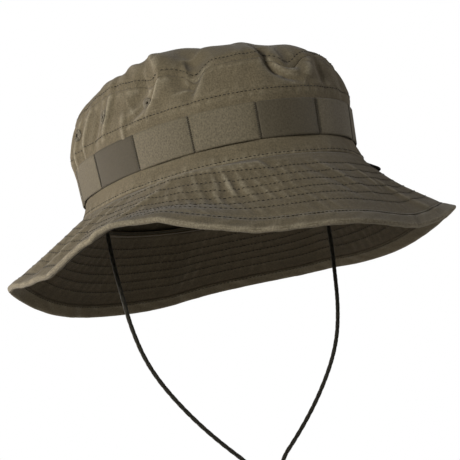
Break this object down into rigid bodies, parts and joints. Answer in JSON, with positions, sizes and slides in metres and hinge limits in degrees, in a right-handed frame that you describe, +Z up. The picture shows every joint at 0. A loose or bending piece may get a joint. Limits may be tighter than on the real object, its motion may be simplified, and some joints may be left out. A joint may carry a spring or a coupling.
{
  "type": "boonie hat",
  "caption": "Soft field hat with a drooping quilted brim, a band of webbing loops round the crown, vent eyelets and a chin cord with a sliding lock.",
  "frame": {"origin": "centre of the head opening, in the plane where the crown meets the brim", "axes": "+Z up out of the crown, -Y the front, +X the wearer's left"},
  "size_m": [0.2959, 0.3175, 0.3537],
  "materials": {
    "crown_cloth": "matte ripstop cotton, olive brown",
    "brim_cloth": "matte cotton twill, quilted",
    "brim_under_cloth": "matte cotton twill",
    "interlining": "stiff woven interlining",
    "binding_tape": "folded cotton hem",
    "webbing": "ribbed woven nylon",
    "thread": "bonded sewing thread",
    "sweatband_cloth": "soft absorbent cotton",
    "label": "plain woven tag, blank",
    "cord": "braided polyester cord",
    "lock_plastic": "moulded acetal",
    "spring_steel": "bright spring wire"
  },
  "bodies": {
    "hat": {"crown_side_band": "crown_cloth", "crown_tip": "crown_cloth", "tip_seam_tape": "binding_tape", "reinforcement_band": "sweatband_cloth", "sweatband": "sweatband_cloth", "webbing_loop_band": "webbing", "webbing_bartacks": "thread", "size_label": "label", "vent_eyelets_right": "thread", "vent_eyelets_left": "thread", "brim_top": "brim_cloth", "brim_interlining": "interlining", "brim_bottom": "brim_under_cloth", "brim_edge_binding": "binding_tape", "cord_tab_right": "binding_tape", "cord_tab_left": "binding_tape", "left_cord_bight": "cord"},
    "chin_loop": {"chin_cord_right": "cord", "chin_cord_left": "cord", "cord_end_knot": "cord"},
    "cord_lock": {"cord_lock_barrel": "lock_plastic", "cord_lock_spring": "spring_steel"},
    "lock_button": {"cord_lock_button": "lock_plastic"}
  },
  "joints": [
    {"name": "chin_loop_swing", "type": "hinge", "parent": "hat", "child": "chin_loop", "pos_m": [0, 0.012, -0.016], "axis": [1, 0, 0], "range_deg": [-45, 45]},
    {"name": "cord_lock_slide", "type": "slide", "parent": "chin_loop", "child": "cord_lock", "axis": [0, 0, -1], "range_m": [0, 0.012]},
    {"name": "lock_button_push", "type": "slide", "parent": "cord_lock", "child": "lock_button", "axis": [0, 1, 0], "range_m": [0, 0.003], "stiffness_N_per_m": 250, "springref_m": -0.002}
  ]
}
